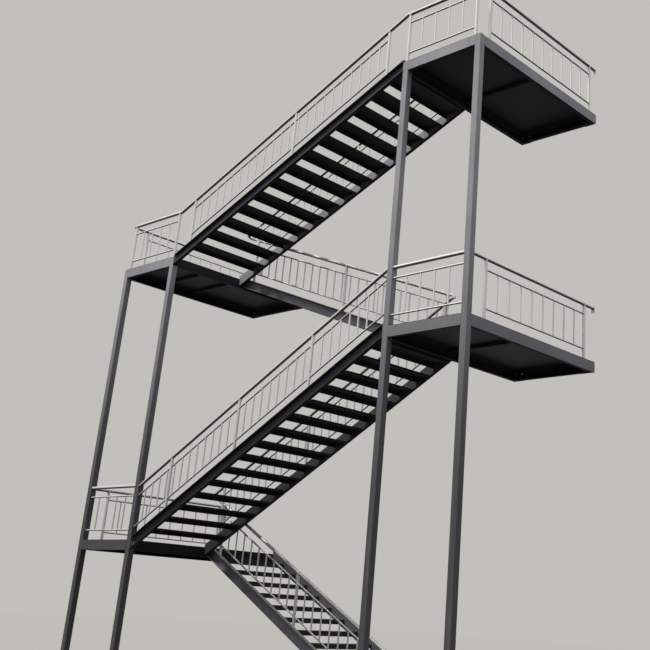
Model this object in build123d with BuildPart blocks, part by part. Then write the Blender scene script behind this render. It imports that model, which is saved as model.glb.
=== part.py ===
from build123d import *
import os
from math import hypot

os.makedirs("parts", exist_ok=True)

# Fire escape stair of four flights and four landings, in millimetres.
# X runs along the wall, Y towards the wall, Z up. The origin is the middle of the underside
# of the base plate of the outer left post, on the ground.

# Towers: four square posts that stand in one line, away from the wall
post_side = 100
post_wall = 6
post_corner = 8
tower_width = 1450
tower_gap = 5100
wall_distance = 2950
cap_thickness = 6

# Base plates under the posts
base_side = 250
base_thickness = 16
base_hole = 18
base_hole_spacing = 180
base_corner = 12

# Heights of the walking surfaces above the ground
level_1 = 2680
level_2 = 5435
level_3 = 7350
level_4 = 9475

# Landings: a frame of channels under a steel deck
deck_thickness = 5
beam_depth = 150
beam_flange = 65
beam_web = 7
beam_lip = 9
joist_depth = 50
joist_flange = 37
joist_web = 5
joist_lip = 7
joist_place = 1380
joist_place_2 = 1300
front_joist_place = 760

# Plates that fasten each landing to the wall
wall_plate_width = 200
wall_plate_thickness = 12
wall_hole = 18
wall_hole_across = 130
wall_hole_up = 70

# Flights: two channel stringers with folded plate treads between them
flight_1_riser_count = 16
flight_2_riser_count = 16
flight_3_riser_count = 13
flight_4_riser_count = 14
stringer_depth = 160
stringer_flange = 65
stringer_web = 7
stringer_lip = 10
stringer_rise = 45
wall_gap = 12
tread_depth = 290
tread_plate = 5
tread_front_lip = 70
tread_back_lip = 30
tread_clearance = 5
last_tread_upstand = 40

# Foot plates under the lowest flight
foot_plate_length = 220
foot_plate_width = 120
foot_plate_thickness = 12
foot_hole = 14
foot_hole_spacing = 90
foot_hole_edge = 28

# Railings of stainless tube
handrail_radius = 25
newel_radius = 24
rail_radius = 13
baluster_radius = 12
handrail_height = 825
top_rail_drop = 150
bottom_rail_height = 150
baluster_pitch = 250
baluster_clearance = 10
handrail_clearance = 7.5
handrail_lap = 25
handrail_bend = 50
turn_straight = 0.5
turn_setback = 50
turn_run = 50
corner_setback = 65
corner_joint = 40
side_setback_1 = 335
side_setback_2 = 335
side_setback_3 = 280
side_setback_4 = 190
end_setback = 250
end_setback_4 = 165
guard_setback = 90
guard_joint_setback = 65
guard_inset = 45

# Newels and balusters of the flights: how far the outer newels stand from the towers, and
# the share of the way between them at which the middle ones stand
left_newel_setback = 300
right_newel_setback = 195
foot_newel_setback = 335
flight_4_newel_setback = 364
flight_baluster_pitch = 192
flight_2_baluster_pitch = 172
flight_1_newel_share = 0.4345
flight_2_front_newel_shares = (0.148, 0.437, 0.726)
flight_2_rear_newel_share = 0.4187
flight_3_newel_share = 0.517
flight_4_newel_share = 0.5487

# Lines that the sizes above fix
post_half = post_side / 2
front_face = -post_half
left_posts_x = (0, tower_width - post_side)
right_tower_x = tower_width + tower_gap
right_posts_x = (right_tower_x, right_tower_x + tower_width - post_side)
flight_left = left_posts_x[1] + post_half
flight_right = right_posts_x[0] - post_half
lane_line = (front_face + wall_distance) / 2
rail_inset = handrail_clearance + handrail_radius
rail_line = front_face + rail_inset
turn_bend = rail_inset - turn_straight
ground_stop = foot_plate_thickness


def bar(start, end, radius):
    """A round bar from one point to another."""
    path = Vector(*end) - Vector(*start)
    with BuildSketch(Plane(origin=start, z_dir=path)) as section:
        Circle(radius)
    return extrude(section.sketch, amount=path.length, mode=Mode.PRIVATE)


def bent_tube(points, bend, radius):
    """A round tube along straight runs that are joined by bends."""
    with BuildLine() as route:
        if len(points) > 2:
            FilletPolyline(*points, radius=bend)
        else:
            Line(*points)
    with BuildSketch(Plane(origin=route.line @ 0, z_dir=route.line % 0)) as section:
        Circle(radius)
    return sweep(section.sketch, path=route.line, mode=Mode.PRIVATE)


def channel(start, end, toes, depth, flange, web, lip):
    """A channel whose web's back lies on the line from start to end, at half its depth."""
    path = Vector(*end) - Vector(*start)
    with BuildSketch(Plane(origin=start, x_dir=toes, z_dir=path)) as section:
        Rectangle(web, depth, align=(Align.MIN, Align.CENTER))
        with Locations((0, depth / 2 - lip / 2), (0, lip / 2 - depth / 2)):
            Rectangle(flange, lip, align=(Align.MIN, Align.CENTER))
    return extrude(section.sketch, amount=path.length, mode=Mode.PRIVATE)


def finish(part, label):
    """Names a finished piece and writes it."""
    part.label = label
    export_step(part, f"parts/{label}.step")


def make_post(x, top):
    """A square tube from its base plate up, closed by a cap."""
    with BuildPart() as post:
        with BuildSketch(Plane.XY.offset(base_thickness)):
            with Locations((x, 0)):
                RectangleRounded(post_side, post_side, post_corner)
                RectangleRounded(
                    post_side - 2 * post_wall,
                    post_side - 2 * post_wall,
                    post_corner - post_wall,
                    mode=Mode.SUBTRACT,
                )
        extrude(amount=top - base_thickness)
        with BuildSketch(Plane.XY.offset(top - cap_thickness)):
            with Locations((x, 0)):
                RectangleRounded(post_side, post_side, post_corner)
        extrude(amount=cap_thickness)
    return post.part


# Base plates: one under each post, with four holes for ground anchors
with BuildPart() as base_plates:
    with BuildSketch():
        with Locations(*[(x, 0) for x in left_posts_x + right_posts_x]):
            RectangleRounded(base_side, base_side, base_corner)
            with GridLocations(base_hole_spacing, base_hole_spacing, 2, 2):
                Circle(base_hole / 2, mode=Mode.SUBTRACT)
    extrude(amount=base_thickness)
finish(base_plates.part, "post_base_plates")

# Posts: the inner left one stops under the beam of landing 3, which rests on it
beam_top_3 = level_3 - deck_thickness
finish(make_post(left_posts_x[0], beam_top_3), "post_left_outer")
finish(make_post(left_posts_x[1], beam_top_3 - beam_depth), "post_left_inner")
finish(make_post(right_posts_x[0], level_4 - deck_thickness), "post_right_inner")
finish(make_post(right_posts_x[1], level_4 - deck_thickness), "post_right_outer")


def beam(start, end, toes):
    """One edge beam of a landing."""
    return channel(start, end, toes, beam_depth, beam_flange, beam_web, beam_lip)


def wall_plate_middles(left_x, middle):
    """Middles of the two wall plates of a landing, behind the ends of its side beams."""
    inset = wall_plate_width / 2
    return [(left_x + inset, middle), (left_x + tower_width - inset, middle)]


def make_frame(left_x, level, rests_on_inner_post, joist_places):
    """Edge beams and joists of a landing, between the outer faces of its tower."""
    right_x = left_x + tower_width
    middle = level - deck_thickness - beam_depth / 2
    joist_middle = level - deck_thickness - joist_depth / 2
    back = wall_distance - wall_plate_thickness
    front_end = right_x if rests_on_inner_post else right_x - post_side
    right_start = front_face + beam_web if rests_on_inner_post else post_half
    with BuildPart() as frame:
        add(beam((left_x + post_side, front_face, middle), (front_end, front_face, middle), (0, 1, 0)))
        add(beam((left_x, post_half, middle), (left_x, back, middle), (1, 0, 0)))
        add(beam((right_x, right_start, middle), (right_x, back, middle), (-1, 0, 0)))
        add(beam((left_x + beam_web, back, middle), (right_x - beam_web, back, middle), (0, -1, 0)))
        for y in joist_places:
            add(
                channel(
                    (left_x + beam_web, y, joist_middle),
                    (right_x - beam_web, y, joist_middle),
                    (0, 1, 0),
                    joist_depth,
                    joist_flange,
                    joist_web,
                    joist_lip,
                )
            )
        with BuildSketch(Plane.XZ.offset(-back)):
            with Locations(*wall_plate_middles(left_x, middle)):
                with GridLocations(wall_hole_across, wall_hole_up, 2, 2):
                    Circle(wall_hole / 2)
        extrude(amount=beam_web, mode=Mode.SUBTRACT)
    return frame.part


def make_deck(left_x, level, notches):
    """A deck plate over a frame, notched round the posts that pass it."""
    back = wall_distance - wall_plate_thickness
    with BuildPart() as deck:
        with BuildSketch(Plane.XY.offset(level - deck_thickness)):
            with Locations((left_x, front_face)):
                Rectangle(tower_width, back - front_face, align=(Align.MIN, Align.MIN))
            if notches:
                with Locations(*[(x, 0) for x in notches]):
                    Rectangle(post_side, post_side, mode=Mode.SUBTRACT)
        extrude(amount=deck_thickness)
    return deck.part


def make_wall_plates(left_x, level):
    """Two plates between the rear beam and the wall. The anchors pass through both."""
    middle = level - deck_thickness - beam_depth / 2
    with BuildPart() as plates:
        with BuildSketch(Plane.XZ.offset(wall_plate_thickness - wall_distance)):
            with Locations(*wall_plate_middles(left_x, middle)):
                Rectangle(wall_plate_width, beam_depth)
                with GridLocations(wall_hole_across, wall_hole_up, 2, 2):
                    Circle(wall_hole / 2, mode=Mode.SUBTRACT)
        extrude(amount=-wall_plate_thickness)
    return plates.part


# Landings: 1 and 3 on the left tower, 2 and 4 on the right one
left_edge = left_posts_x[0] - post_half
right_edge = right_posts_x[0] - post_half
landings = (
    (1, left_edge, level_1, left_posts_x, False),
    (2, right_edge, level_2, right_posts_x, False),
    (3, left_edge, level_3, (), True),
    (4, right_edge, level_4, (), False),
)
joists = ((joist_place,), (joist_place_2,), (front_joist_place, joist_place), (joist_place,))
for landing, joist_places in zip(landings, joists):
    number, edge, level, through_posts, rests_on_inner_post = landing
    frame = make_frame(edge, level, rests_on_inner_post, joist_places)
    finish(frame, f"landing_{number}_frame")
    finish(make_deck(edge, level, through_posts), f"landing_{number}_deck")
    finish(make_wall_plates(edge, level), f"landing_{number}_wall_plates")


class Flight:
    """A flight from one height and end of the gap between the towers to the other."""

    def __init__(self, number, low, high, risers, rises_to_right, lane_start, lane_end):
        self.number = number
        self.low = low
        self.high = high
        self.risers = risers
        self.foot = flight_left if rises_to_right else flight_right
        self.head = flight_right if rises_to_right else flight_left
        self.forward = 1 if rises_to_right else -1
        self.slope = (high - low) / tower_gap
        self.going = tower_gap / risers
        self.steepness = hypot(1, self.slope)
        self.lane_start = lane_start
        self.lane_end = lane_end

    def nose(self, x):
        """Height of the line through the fronts of the treads."""
        return self.low + self.forward * (x - self.foot) * self.slope

    def seat(self, x):
        """Height of the top of the stringers, where the railing stands."""
        return self.nose(x) + stringer_rise

    def nosing(self, step):
        """Place of the front of a tread along the wall."""
        return self.foot + self.forward * step * self.going


flights = (
    Flight(1, 0, level_1, flight_1_riser_count, False, lane_line, wall_distance - wall_gap),
    Flight(2, level_1, level_2, flight_2_riser_count, True, front_face, lane_line),
    Flight(3, level_2, level_3, flight_3_riser_count, False, lane_line, wall_distance - wall_gap),
    Flight(4, level_3, level_4, flight_4_riser_count, True, front_face, lane_line),
)


def strip(flight, lowered, drop, y, width):
    """A band along a flight's slope, cut plumb at both landings, from y for a width."""
    ends = [(x, flight.seat(x) - lowered) for x in (flight_left, flight_right)]
    under = [(x, z - drop) for x, z in reversed(ends)]
    with BuildSketch(Plane.XZ.offset(-y)) as side:
        with BuildLine():
            Polyline(*ends, *under, close=True)
        make_face()
    return extrude(side.sketch, amount=-width, mode=Mode.PRIVATE)


def make_stringer(flight, web_back, toes):
    """A sloping channel whose web's back faces the treads and whose toes point away."""
    lip = stringer_lip * flight.steepness
    depth = stringer_depth * flight.steepness
    web_y = web_back if toes > 0 else web_back - stringer_web
    lip_y = web_back if toes > 0 else web_back - stringer_flange
    with BuildPart() as stringer:
        add(strip(flight, 0, depth, web_y, stringer_web))
        add(strip(flight, 0, lip, lip_y, stringer_flange))
        add(strip(flight, depth - lip, lip, lip_y, stringer_flange))
        if flight.low < ground_stop:
            split(bisect_by=Plane.XY.offset(ground_stop), keep=Keep.TOP)
    return stringer.part


def make_treads(flight):
    """Treads folded from plate, with a deep lip at the front and a low one at the back.

    The last one is deeper. Its back is also turned up, which closes the gap to the landing.
    """
    start = flight.lane_start + stringer_flange
    end = flight.lane_end - stringer_flange
    with BuildPart() as treads:
        with BuildSketch(Plane.XZ.offset(-start)):
            for step in range(1, flight.risers):
                front = flight.nosing(step)
                top = flight.nose(front)
                depth = tread_depth
                if step == flight.risers - 1:
                    depth = flight.going - tread_clearance
                with Locations((front + flight.forward * depth / 2, top)):
                    Rectangle(depth, tread_plate, align=(Align.CENTER, Align.MAX))
                front_lip = front + flight.forward * tread_plate / 2
                back_lip = front + flight.forward * (depth - tread_plate / 2)
                with Locations((front_lip, top)):
                    Rectangle(tread_plate, tread_front_lip, align=(Align.CENTER, Align.MAX))
                with Locations((back_lip, top)):
                    Rectangle(tread_plate, tread_back_lip, align=(Align.CENTER, Align.MAX))
            with Locations((back_lip, top)):
                Rectangle(tread_plate, last_tread_upstand, align=(Align.CENTER, Align.MIN))
        extrude(amount=start - end)
    return treads.part


for flight in flights:
    front_web = flight.lane_start + stringer_flange
    rear_web = flight.lane_end - stringer_flange
    finish(make_stringer(flight, front_web, -1), f"flight_{flight.number}_front_stringer")
    finish(make_stringer(flight, rear_web, 1), f"flight_{flight.number}_rear_stringer")
    finish(make_treads(flight), f"flight_{flight.number}_treads")

# Foot plates: they carry the stringers of the lowest flight on the ground
first_flight = flights[0]
foot_plate_x = first_flight.foot - foot_plate_length / 2
foot_plate_lines = (
    first_flight.lane_start + foot_plate_width / 2,
    first_flight.lane_end - foot_plate_width / 2,
)
foot_hole_offset = foot_plate_width / 2 - foot_hole_edge
with BuildPart() as foot_plates:
    with BuildSketch():
        for y, inward in zip(foot_plate_lines, (1, -1)):
            with Locations((foot_plate_x, y)):
                Rectangle(foot_plate_length, foot_plate_width)
            with Locations((foot_plate_x, y + inward * foot_hole_offset)):
                with GridLocations(foot_hole_spacing, 0, 2, 1):
                    Circle(foot_hole / 2, mode=Mode.SUBTRACT)
    extrude(amount=foot_plate_thickness)
finish(foot_plates.part, "flight_1_foot_plates")


def baluster_places(first, last, pitch, newels=()):
    """Places of the balusters, evenly between two ends, without those that meet a newel."""
    bays = max(1, round(abs(last - first) / pitch))
    places = [first + (last - first) * bay / bays for bay in range(1, bays)]
    reach = newel_radius + baluster_radius + baluster_clearance
    return [place for place in places if all(abs(place - newel) > reach for newel in newels)]


def make_level_railing(point, seat, stops, newels, handrail):
    """A level railing. point gives a place from a distance along it and a height."""
    top_rail = seat + handrail_height - top_rail_drop
    bottom_rail = seat + bottom_rail_height
    balusters = baluster_places(*stops, baluster_pitch)
    with BuildPart() as railing:
        if newels:
            add([bar(point(s, seat), point(s, seat + handrail_height), newel_radius) for s in newels])
        add([bar(point(s, bottom_rail), point(s, top_rail), baluster_radius) for s in balusters])
        add([bar(point(stops[0], z), point(stops[-1], z), rail_radius) for z in (bottom_rail, top_rail)])
        add(handrail)
    return railing.part


def outer_corner(left_x, corner_at_left):
    """The outer post of a tower, and the direction from it towards the flights."""
    if corner_at_left:
        return left_x + post_half, 1
    return left_x + tower_width - post_half, -1


def make_front_railing(left_x, level, corner_at_left, between_posts):
    """The railing on the front beam: between two posts, or on newels where the posts end."""
    outer_post, inward = outer_corner(left_x, corner_at_left)
    inner_post = outer_post + inward * (tower_width - post_side)
    if between_posts:
        stops = [outer_post + inward * post_half, inner_post - inward * post_half]
        rail_ends = stops
        newels = []
    else:
        stops = [outer_post + inward * corner_setback, inner_post]
        lap_start = inner_post + inward * (post_half - handrail_lap)
        rail_ends = [outer_post + inward * corner_joint, lap_start]
        newels = stops
    handrail = bar(*[(x, rail_line, level + handrail_height) for x in rail_ends], handrail_radius)
    return make_level_railing(lambda s, z: (s, rail_line, z), level, stops, newels, handrail)


def make_side_railing(left_x, level, corner_at_left, between_posts, setbacks):
    """The railing on the outer side beam. Its handrail starts at the post or bends round it."""
    outer_post, inward = outer_corner(left_x, corner_at_left)
    side_x = outer_post - inward * (post_half - rail_inset)
    stops = [setbacks[0], wall_distance - setbacks[1]]
    rail_height = level + handrail_height
    rail_end = (side_x, wall_distance, rail_height)
    if between_posts:
        handrail = bar((side_x, post_half, rail_height), rail_end, handrail_radius)
    else:
        bend_start = outer_post + inward * corner_joint
        handrail = bent_tube(
            [(bend_start, rail_line, rail_height), (side_x, rail_line, rail_height), rail_end],
            handrail_bend,
            handrail_radius,
        )
    return make_level_railing(lambda s, z: (side_x, s, z), level, stops, stops, handrail)


side_setbacks = (
    (side_setback_1, end_setback),
    (side_setback_2, end_setback),
    (side_setback_3, end_setback),
    (side_setback_4, end_setback_4),
)
for landing, setbacks in zip(landings, side_setbacks):
    number, edge, level, through_posts, rests_on_inner_post = landing
    place = (edge, level, edge == left_edge, bool(through_posts))
    finish(make_front_railing(*place), f"landing_{number}_front_railing")
    finish(make_side_railing(*place, setbacks), f"landing_{number}_side_railing")

# Guard on the open half of landing 4, joined to the inner handrail of the flight below
guard_x = right_edge + guard_inset
guard_stops = [lane_line + guard_setback, wall_distance - end_setback]
guard_joint = lane_line + guard_joint_setback
guard_handrail = bar(
    (guard_x, guard_joint, level_4 + handrail_height),
    (guard_x, wall_distance, level_4 + handrail_height),
    handrail_radius,
)
guard = make_level_railing(
    lambda s, z: (guard_x, s, z), level_4, guard_stops, guard_stops, guard_handrail
)
finish(guard, "landing_4_guard_railing")


def newels_between(left_setback, right_setback, share):
    """Places of three newels: one near each tower, and one at a share of the way between."""
    left = flight_left + left_setback
    right = flight_right - right_setback
    return [left, left + (right - left) * share, right]


def make_flight_railing(flight, y, newels, pitch, joints=(), before=(), after=()):
    """A railing on a stringer. Its handrail goes on through the points before and after.

    The joints are the places where the sloping handrail starts and ends. Without joints all
    its rails run from post to post.
    """

    def point(x, height):
        return (x, y, flight.seat(x) + height)

    slope_height = handrail_height - stringer_rise
    top_rail = slope_height - top_rail_drop
    if joints:
        rail_ends = [newels[0], newels[-1]]
        slope = [point(x, slope_height) for x in joints]
        handrail = bent_tube([*before, *slope, *after], turn_bend, handrail_radius)
    else:
        rail_ends = [flight_left, flight_right]
        overrun = [flight_left - stringer_depth, flight_right + stringer_depth]
        handrail = bar(*[point(x, slope_height) for x in overrun], handrail_radius)
    balusters = baluster_places(*rail_ends, pitch, newels)
    if not joints:
        rail_ends = overrun
    with BuildPart() as railing:
        add([bar(point(x, -newel_radius), point(x, slope_height), newel_radius) for x in newels])
        add(strip(flight, 0, stringer_depth, y - handrail_radius, 2 * handrail_radius), mode=Mode.SUBTRACT)
        add([bar(point(x, bottom_rail_height), point(x, top_rail), baluster_radius) for x in balusters])
        for height in (bottom_rail_height, top_rail):
            add(bar(*[point(x, height) for x in rail_ends], rail_radius))
        add(handrail)
        if not joints:
            split(bisect_by=Plane.YZ.offset(flight_left), keep=Keep.TOP)
            split(bisect_by=Plane.YZ.offset(flight_right), keep=Keep.BOTTOM)
    return railing.part


def on_handrail(flight, x, y):
    """A point on the sloping handrail of a flight."""
    return (x, y, flight.seat(x) + handrail_height - stringer_rise)


def half_turn(upper, joint, turn):
    """Points of the half turn onto the handrail of the flight behind, up to its joint."""
    return [on_handrail(upper, x, rear_rail_y) for x in (turn, joint)]


# Railings of the flights: on the posts' side, and on both sides of the line between the lanes
front_rail_y = lane_line - rail_inset
rear_rail_y = lane_line + rail_inset
flight_1, flight_2, flight_3, flight_4 = flights
left_turn = flight_left + turn_setback
right_turn = flight_right - turn_setback
left_joint = left_turn + turn_run
right_joint = right_turn - turn_run
rail_level_3 = level_3 + handrail_height
rail_level_4 = level_4 + handrail_height

railing = make_flight_railing(
    flight_1,
    rear_rail_y,
    newels_between(left_newel_setback, foot_newel_setback, flight_1_newel_share),
    flight_baluster_pitch,
    joints=(left_joint, flight_right),
)
finish(railing, "flight_1_front_railing")
railing = make_flight_railing(
    flight_2,
    rail_line,
    [flight_left + tower_gap * share for share in flight_2_front_newel_shares],
    flight_2_baluster_pitch,
)
finish(railing, "flight_2_front_railing")
railing = make_flight_railing(
    flight_2,
    front_rail_y,
    newels_between(left_newel_setback, right_newel_setback, flight_2_rear_newel_share),
    flight_2_baluster_pitch,
    joints=(left_turn, right_turn),
    before=half_turn(flight_1, left_joint, left_turn)[::-1],
    after=half_turn(flight_3, right_joint, right_turn),
)
finish(railing, "flight_2_rear_railing")
railing = make_flight_railing(
    flight_3,
    rear_rail_y,
    newels_between(left_newel_setback, right_newel_setback, flight_3_newel_share),
    flight_baluster_pitch,
    joints=(left_joint, right_joint),
)
finish(railing, "flight_3_front_railing")
flight_4_newels = newels_between(
    flight_4_newel_setback, flight_4_newel_setback, flight_4_newel_share
)
railing = make_flight_railing(
    flight_4,
    rail_line,
    flight_4_newels,
    flight_baluster_pitch,
    joints=(flight_left, flight_right),
    before=[(flight_left - handrail_lap, rail_line, rail_level_3)],
    after=[(flight_right + handrail_lap, rail_line, rail_level_4)],
)
finish(railing, "flight_4_front_railing")
railing = make_flight_railing(
    flight_4,
    front_rail_y,
    flight_4_newels,
    flight_baluster_pitch,
    joints=(left_turn, flight_right),
    before=half_turn(flight_3, left_joint, left_turn)[::-1],
    after=[(guard_x, front_rail_y, rail_level_4), (guard_x, guard_joint, rail_level_4)],
)
finish(railing, "flight_4_rear_railing")
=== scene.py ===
# %% [markdown]
# # A fire escape stair, dressed
#
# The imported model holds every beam, tread and rail of this stair at its real size. This
# notebook gives it paint, rust, brushed steel, bolts, welds and the raised pattern of its
# plates, then lights it and sets the camera. Each step first says what the thing is on the
# real stair, then how it is made here and why.

# %% Load the model
import math

import bpy
import numpy as np
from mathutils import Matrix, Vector


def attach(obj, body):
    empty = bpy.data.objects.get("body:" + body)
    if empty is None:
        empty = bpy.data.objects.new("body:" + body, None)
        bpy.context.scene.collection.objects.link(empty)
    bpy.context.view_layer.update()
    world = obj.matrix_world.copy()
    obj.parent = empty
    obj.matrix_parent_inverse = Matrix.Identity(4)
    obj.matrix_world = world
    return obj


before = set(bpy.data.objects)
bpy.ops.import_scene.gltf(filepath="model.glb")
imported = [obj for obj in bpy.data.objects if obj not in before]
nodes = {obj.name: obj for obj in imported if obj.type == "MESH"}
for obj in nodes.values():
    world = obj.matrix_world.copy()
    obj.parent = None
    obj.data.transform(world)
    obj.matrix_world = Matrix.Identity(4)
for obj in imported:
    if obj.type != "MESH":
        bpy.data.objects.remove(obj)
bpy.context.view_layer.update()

# %% [markdown]
# ## The stair's sizes
#
# Small things such as bolts have to sit exactly on the big ones, so the heights of the
# landings and the lines of the flights are named once, in metres. X runs along the wall,
# Y towards it and Z up, as in the model.

# %% Sizes of the stair
# Heights of the landings, and where the wall, the towers, the posts and the lanes are
LEVELS = {1: 2.680, 2: 5.435, 3: 7.350, 4: 9.475}
WALL = 2.950
FRONT = -0.050
POST = 0.100
LEFT_TOWER = (-0.050, 1.400)
RIGHT_TOWER = (6.500, 7.950)
POSTS_X = (0.0, 1.350, 6.550, 7.900)
LANE_LINE = 1.450
WALL_GAP = 0.012

# Thicknesses of the plates, and how far apart their holes are
DECK = 0.005
BASE_PLATE = 0.016
BASE_HOLES = (0.180, 0.180)
FOOT_PLATE = 0.012
FOOT_PLATE_LENGTH = 0.220
FOOT_HOLES = 0.090
FOOT_HOLE_LINE = 0.092
WALL_PLATE = 0.012
WALL_PLATE_WIDTH = 0.200
WALL_HOLES = (0.130, 0.070)

# Stringers, beams and treads
STRINGER_FLANGE = 0.065
STRINGER_WEB = 0.007
STRINGER_DEPTH = 0.160
STRINGER_RISE = 0.045
BEAM_DEPTH = 0.150
BEAM_WEB = 0.007
TREAD_DEPTH = 0.290
TREAD_CLEARANCE = 0.005

# Railings: their insets, heights above the walking line, radii, newels and pitches
RAIL_INSET = 0.0325
CORNER_SETBACK = 0.065
GUARD_INSET = 0.045
HANDRAIL_UP = 0.825
TOP_RAIL_UP = 0.675
BOTTOM_RAIL_UP = 0.150
RADIUS = {"handrail": 0.025, "newel": 0.024, "rail": 0.013, "baluster": 0.012}
SIDE_NEWEL = {1: 0.335, 2: 0.335, 3: 0.280, 4: 0.190}
END_NEWEL = {1: WALL - 0.250, 2: WALL - 0.250, 3: WALL - 0.250, 4: WALL - 0.165}
GUARD_NEWELS = (LANE_LINE + 0.090, WALL - 0.250)
PITCH = 0.250
FLIGHT_PITCH = 0.192
FLIGHT_2_PITCH = 0.172


def tower_of(landing):
    """The two ends of a landing along the wall: odd landings are at the left."""
    return LEFT_TOWER if landing % 2 else RIGHT_TOWER


def outer_end(landing):
    """The middle of a landing's outer post, and the way from it towards the other tower."""
    left, right = tower_of(landing)
    return (left + POST / 2, 1) if landing % 2 else (right - POST / 2, -1)


def side_line(landing):
    """Where a landing's side railing stands along the wall."""
    outer, inward = outer_end(landing)
    return outer - inward * (POST / 2 - RAIL_INSET)


outer_rail = FRONT + RAIL_INSET
front_lane_rail = LANE_LINE - RAIL_INSET
rear_lane_rail = LANE_LINE + RAIL_INSET
guard_rail = RIGHT_TOWER[0] + GUARD_INSET

# %% [markdown]
# ## The flights as lines
#
# A flight is a straight line from one landing to the next, and everything on it follows
# that line: treads, stringers and railings. One small class answers how high the line is at
# a place, so no height is worked out twice.

# %% The flights
class Flight:
    """A flight between the towers. z = low + slope * distance from its foot."""

    def __init__(self, number, low, high, risers, rises_right, lane):
        ends = (LEFT_TOWER[1], RIGHT_TOWER[0])
        self.number = number
        self.foot, self.head = ends if rises_right else ends[::-1]
        self.forward = 1 if rises_right else -1
        self.low, self.high, self.risers, self.lane = low, high, risers, lane
        self.going = abs(self.head - self.foot) / risers
        self.slope = (high - low) / abs(self.head - self.foot)

    def nose(self, x):
        """Height of the line through the fronts of the treads."""
        return self.low + self.forward * (x - self.foot) * self.slope

    def seat(self, x):
        """Height of the stringers' top, a little above that line."""
        return self.nose(x) + STRINGER_RISE

    def treads(self):
        """Front, back and top of every tread. The last one reaches the landing's beam."""
        fronts = self.foot + self.forward * self.going * np.arange(1, self.risers)
        backs = fronts + self.forward * TREAD_DEPTH
        backs[-1] = self.head - self.forward * TREAD_CLEARANCE
        return list(zip(fronts, backs, self.nose(fronts)))


front_lane = (FRONT, LANE_LINE)
rear_lane = (LANE_LINE, WALL - WALL_GAP)
FLIGHTS = {
    1: Flight(1, 0.0, LEVELS[1], 16, False, rear_lane),
    2: Flight(2, LEVELS[1], LEVELS[2], 16, True, front_lane),
    3: Flight(3, LEVELS[2], LEVELS[3], 13, False, rear_lane),
    4: Flight(4, LEVELS[3], LEVELS[4], 14, True, front_lane),
}
for flight in FLIGHTS.values():
    print("flight", flight.number, "riser", round((flight.high - flight.low) / flight.risers, 3))

# %% [markdown]
# ## From arrays to pieces
#
# A shape is three arrays: its points, the numbers of the points round all its faces in one
# long row, and how many of them each face takes. Kept like that, many shapes join into one
# mesh with a few sums, and one bolt becomes dozens without a loop over its points.


# %% Pieces from arrays
def join(shapes):
    """Many shapes as one: points stacked, and their numbers moved on by the points before."""
    points, corners, sizes = zip(*shapes)
    passed = np.cumsum([0] + [len(part) for part in points[:-1]])
    moved = [part + before for part, before in zip(corners, passed)]
    return np.concatenate(points), np.concatenate(moved), np.concatenate(sizes)


def piece(name, shape, material, smooth=False):
    """A mesh with its place in its points, riding on the stair."""
    points, corners, sizes = shape
    mesh = bpy.data.meshes.new(name)
    mesh.vertices.add(len(points))
    mesh.vertices.foreach_set("co", points.ravel())
    mesh.loops.add(len(corners))
    mesh.loops.foreach_set("vertex_index", corners)
    mesh.polygons.add(len(sizes))
    mesh.polygons.foreach_set("loop_start", np.cumsum(sizes) - sizes)
    mesh.polygons.foreach_set("use_smooth", np.full(len(sizes), smooth))
    mesh.materials.append(material)
    mesh.update(calc_edges=True)
    made = bpy.data.objects.new(name, mesh)
    bpy.context.scene.collection.objects.link(made)
    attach(made, "root")
    print(name, len(points), "points", len(sizes), "faces")


# %% Copies of a shape
def frames(ups, sides=None):
    """Three unit axes for each direction: across, along and up. Up is the direction."""
    ups = np.asarray(ups, float)
    ups = ups / np.linalg.norm(ups, axis=1, keepdims=True)
    if sides is None:
        plumb = np.abs(ups[:, 2:3]) > 0.9
        sides = np.where(plumb, [[1.0, 0.0, 0.0]], [[0.0, 0.0, 1.0]])
    across = sides - (sides * ups).sum(axis=1, keepdims=True) * ups
    across = across / np.linalg.norm(across, axis=1, keepdims=True)
    return np.stack([across, np.cross(ups, across), ups], axis=1)


def copies(shape, places, ups=(0, 0, 1), sides=None):
    """A shape at many places: each copy is its points times the three axes, plus its place."""
    points, corners, sizes = shape
    places = np.asarray(places, float)
    ups = np.broadcast_to(np.asarray(ups, float), places.shape)
    axes = frames(ups, sides)
    all_points = np.einsum("pk,nkc->npc", points, axes) + places[:, None, :]
    passed = np.repeat(np.arange(len(places)) * len(points), len(corners))
    moved = np.tile(corners, len(places)) + passed
    return all_points.reshape(-1, 3), moved, np.tile(sizes, len(places))


# %% [markdown]
# ## Turned and carried shapes
#
# Washers, nuts, studs and weld collars are all a profile turned round an axis: the angle
# runs one way over a grid and the profile the other. Six sides make a nut, fourteen make a
# washer. A weld bead and a flat plate are a profile carried along a straight line. All of
# them are a grid of points whose columns close on themselves, so they share their faces.


# %% Faces of a grid
def faces_of(rows, columns, looped=False):
    """Quads between neighbouring rows. A looped grid joins its last row to its first."""
    row, column = np.meshgrid(np.arange(rows - (not looped)), np.arange(columns), indexing="ij")
    beside, above = (column + 1) % columns, (row + 1) % rows
    near, far = row * columns, above * columns
    quads = np.stack([near + column, near + beside, far + beside, far + column], axis=-1)
    return quads.ravel(), np.full(quads.size // 4, 4)


def capped(rows, columns):
    """The same, with the first and the last row closed by a flat face each."""
    corners, sizes = faces_of(rows, columns)
    first = np.arange(columns)[::-1]
    last = np.arange((rows - 1) * columns, rows * columns)
    return np.concatenate([corners, first, last]), np.append(sizes, [columns, columns])


# %% Turned shapes
def spun(profile, sides):
    """Points of a profile of (radius, height) turned round Z: (r cos a, r sin a, h)."""
    angle = np.arange(sides) * 2 * math.pi / sides
    radius, height = np.array(profile, float).T[:, :, None]
    across, along, up = np.broadcast_arrays(radius * np.cos(angle), radius * np.sin(angle), height)
    return np.stack([across, along, up], axis=-1).reshape(-1, 3)


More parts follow.
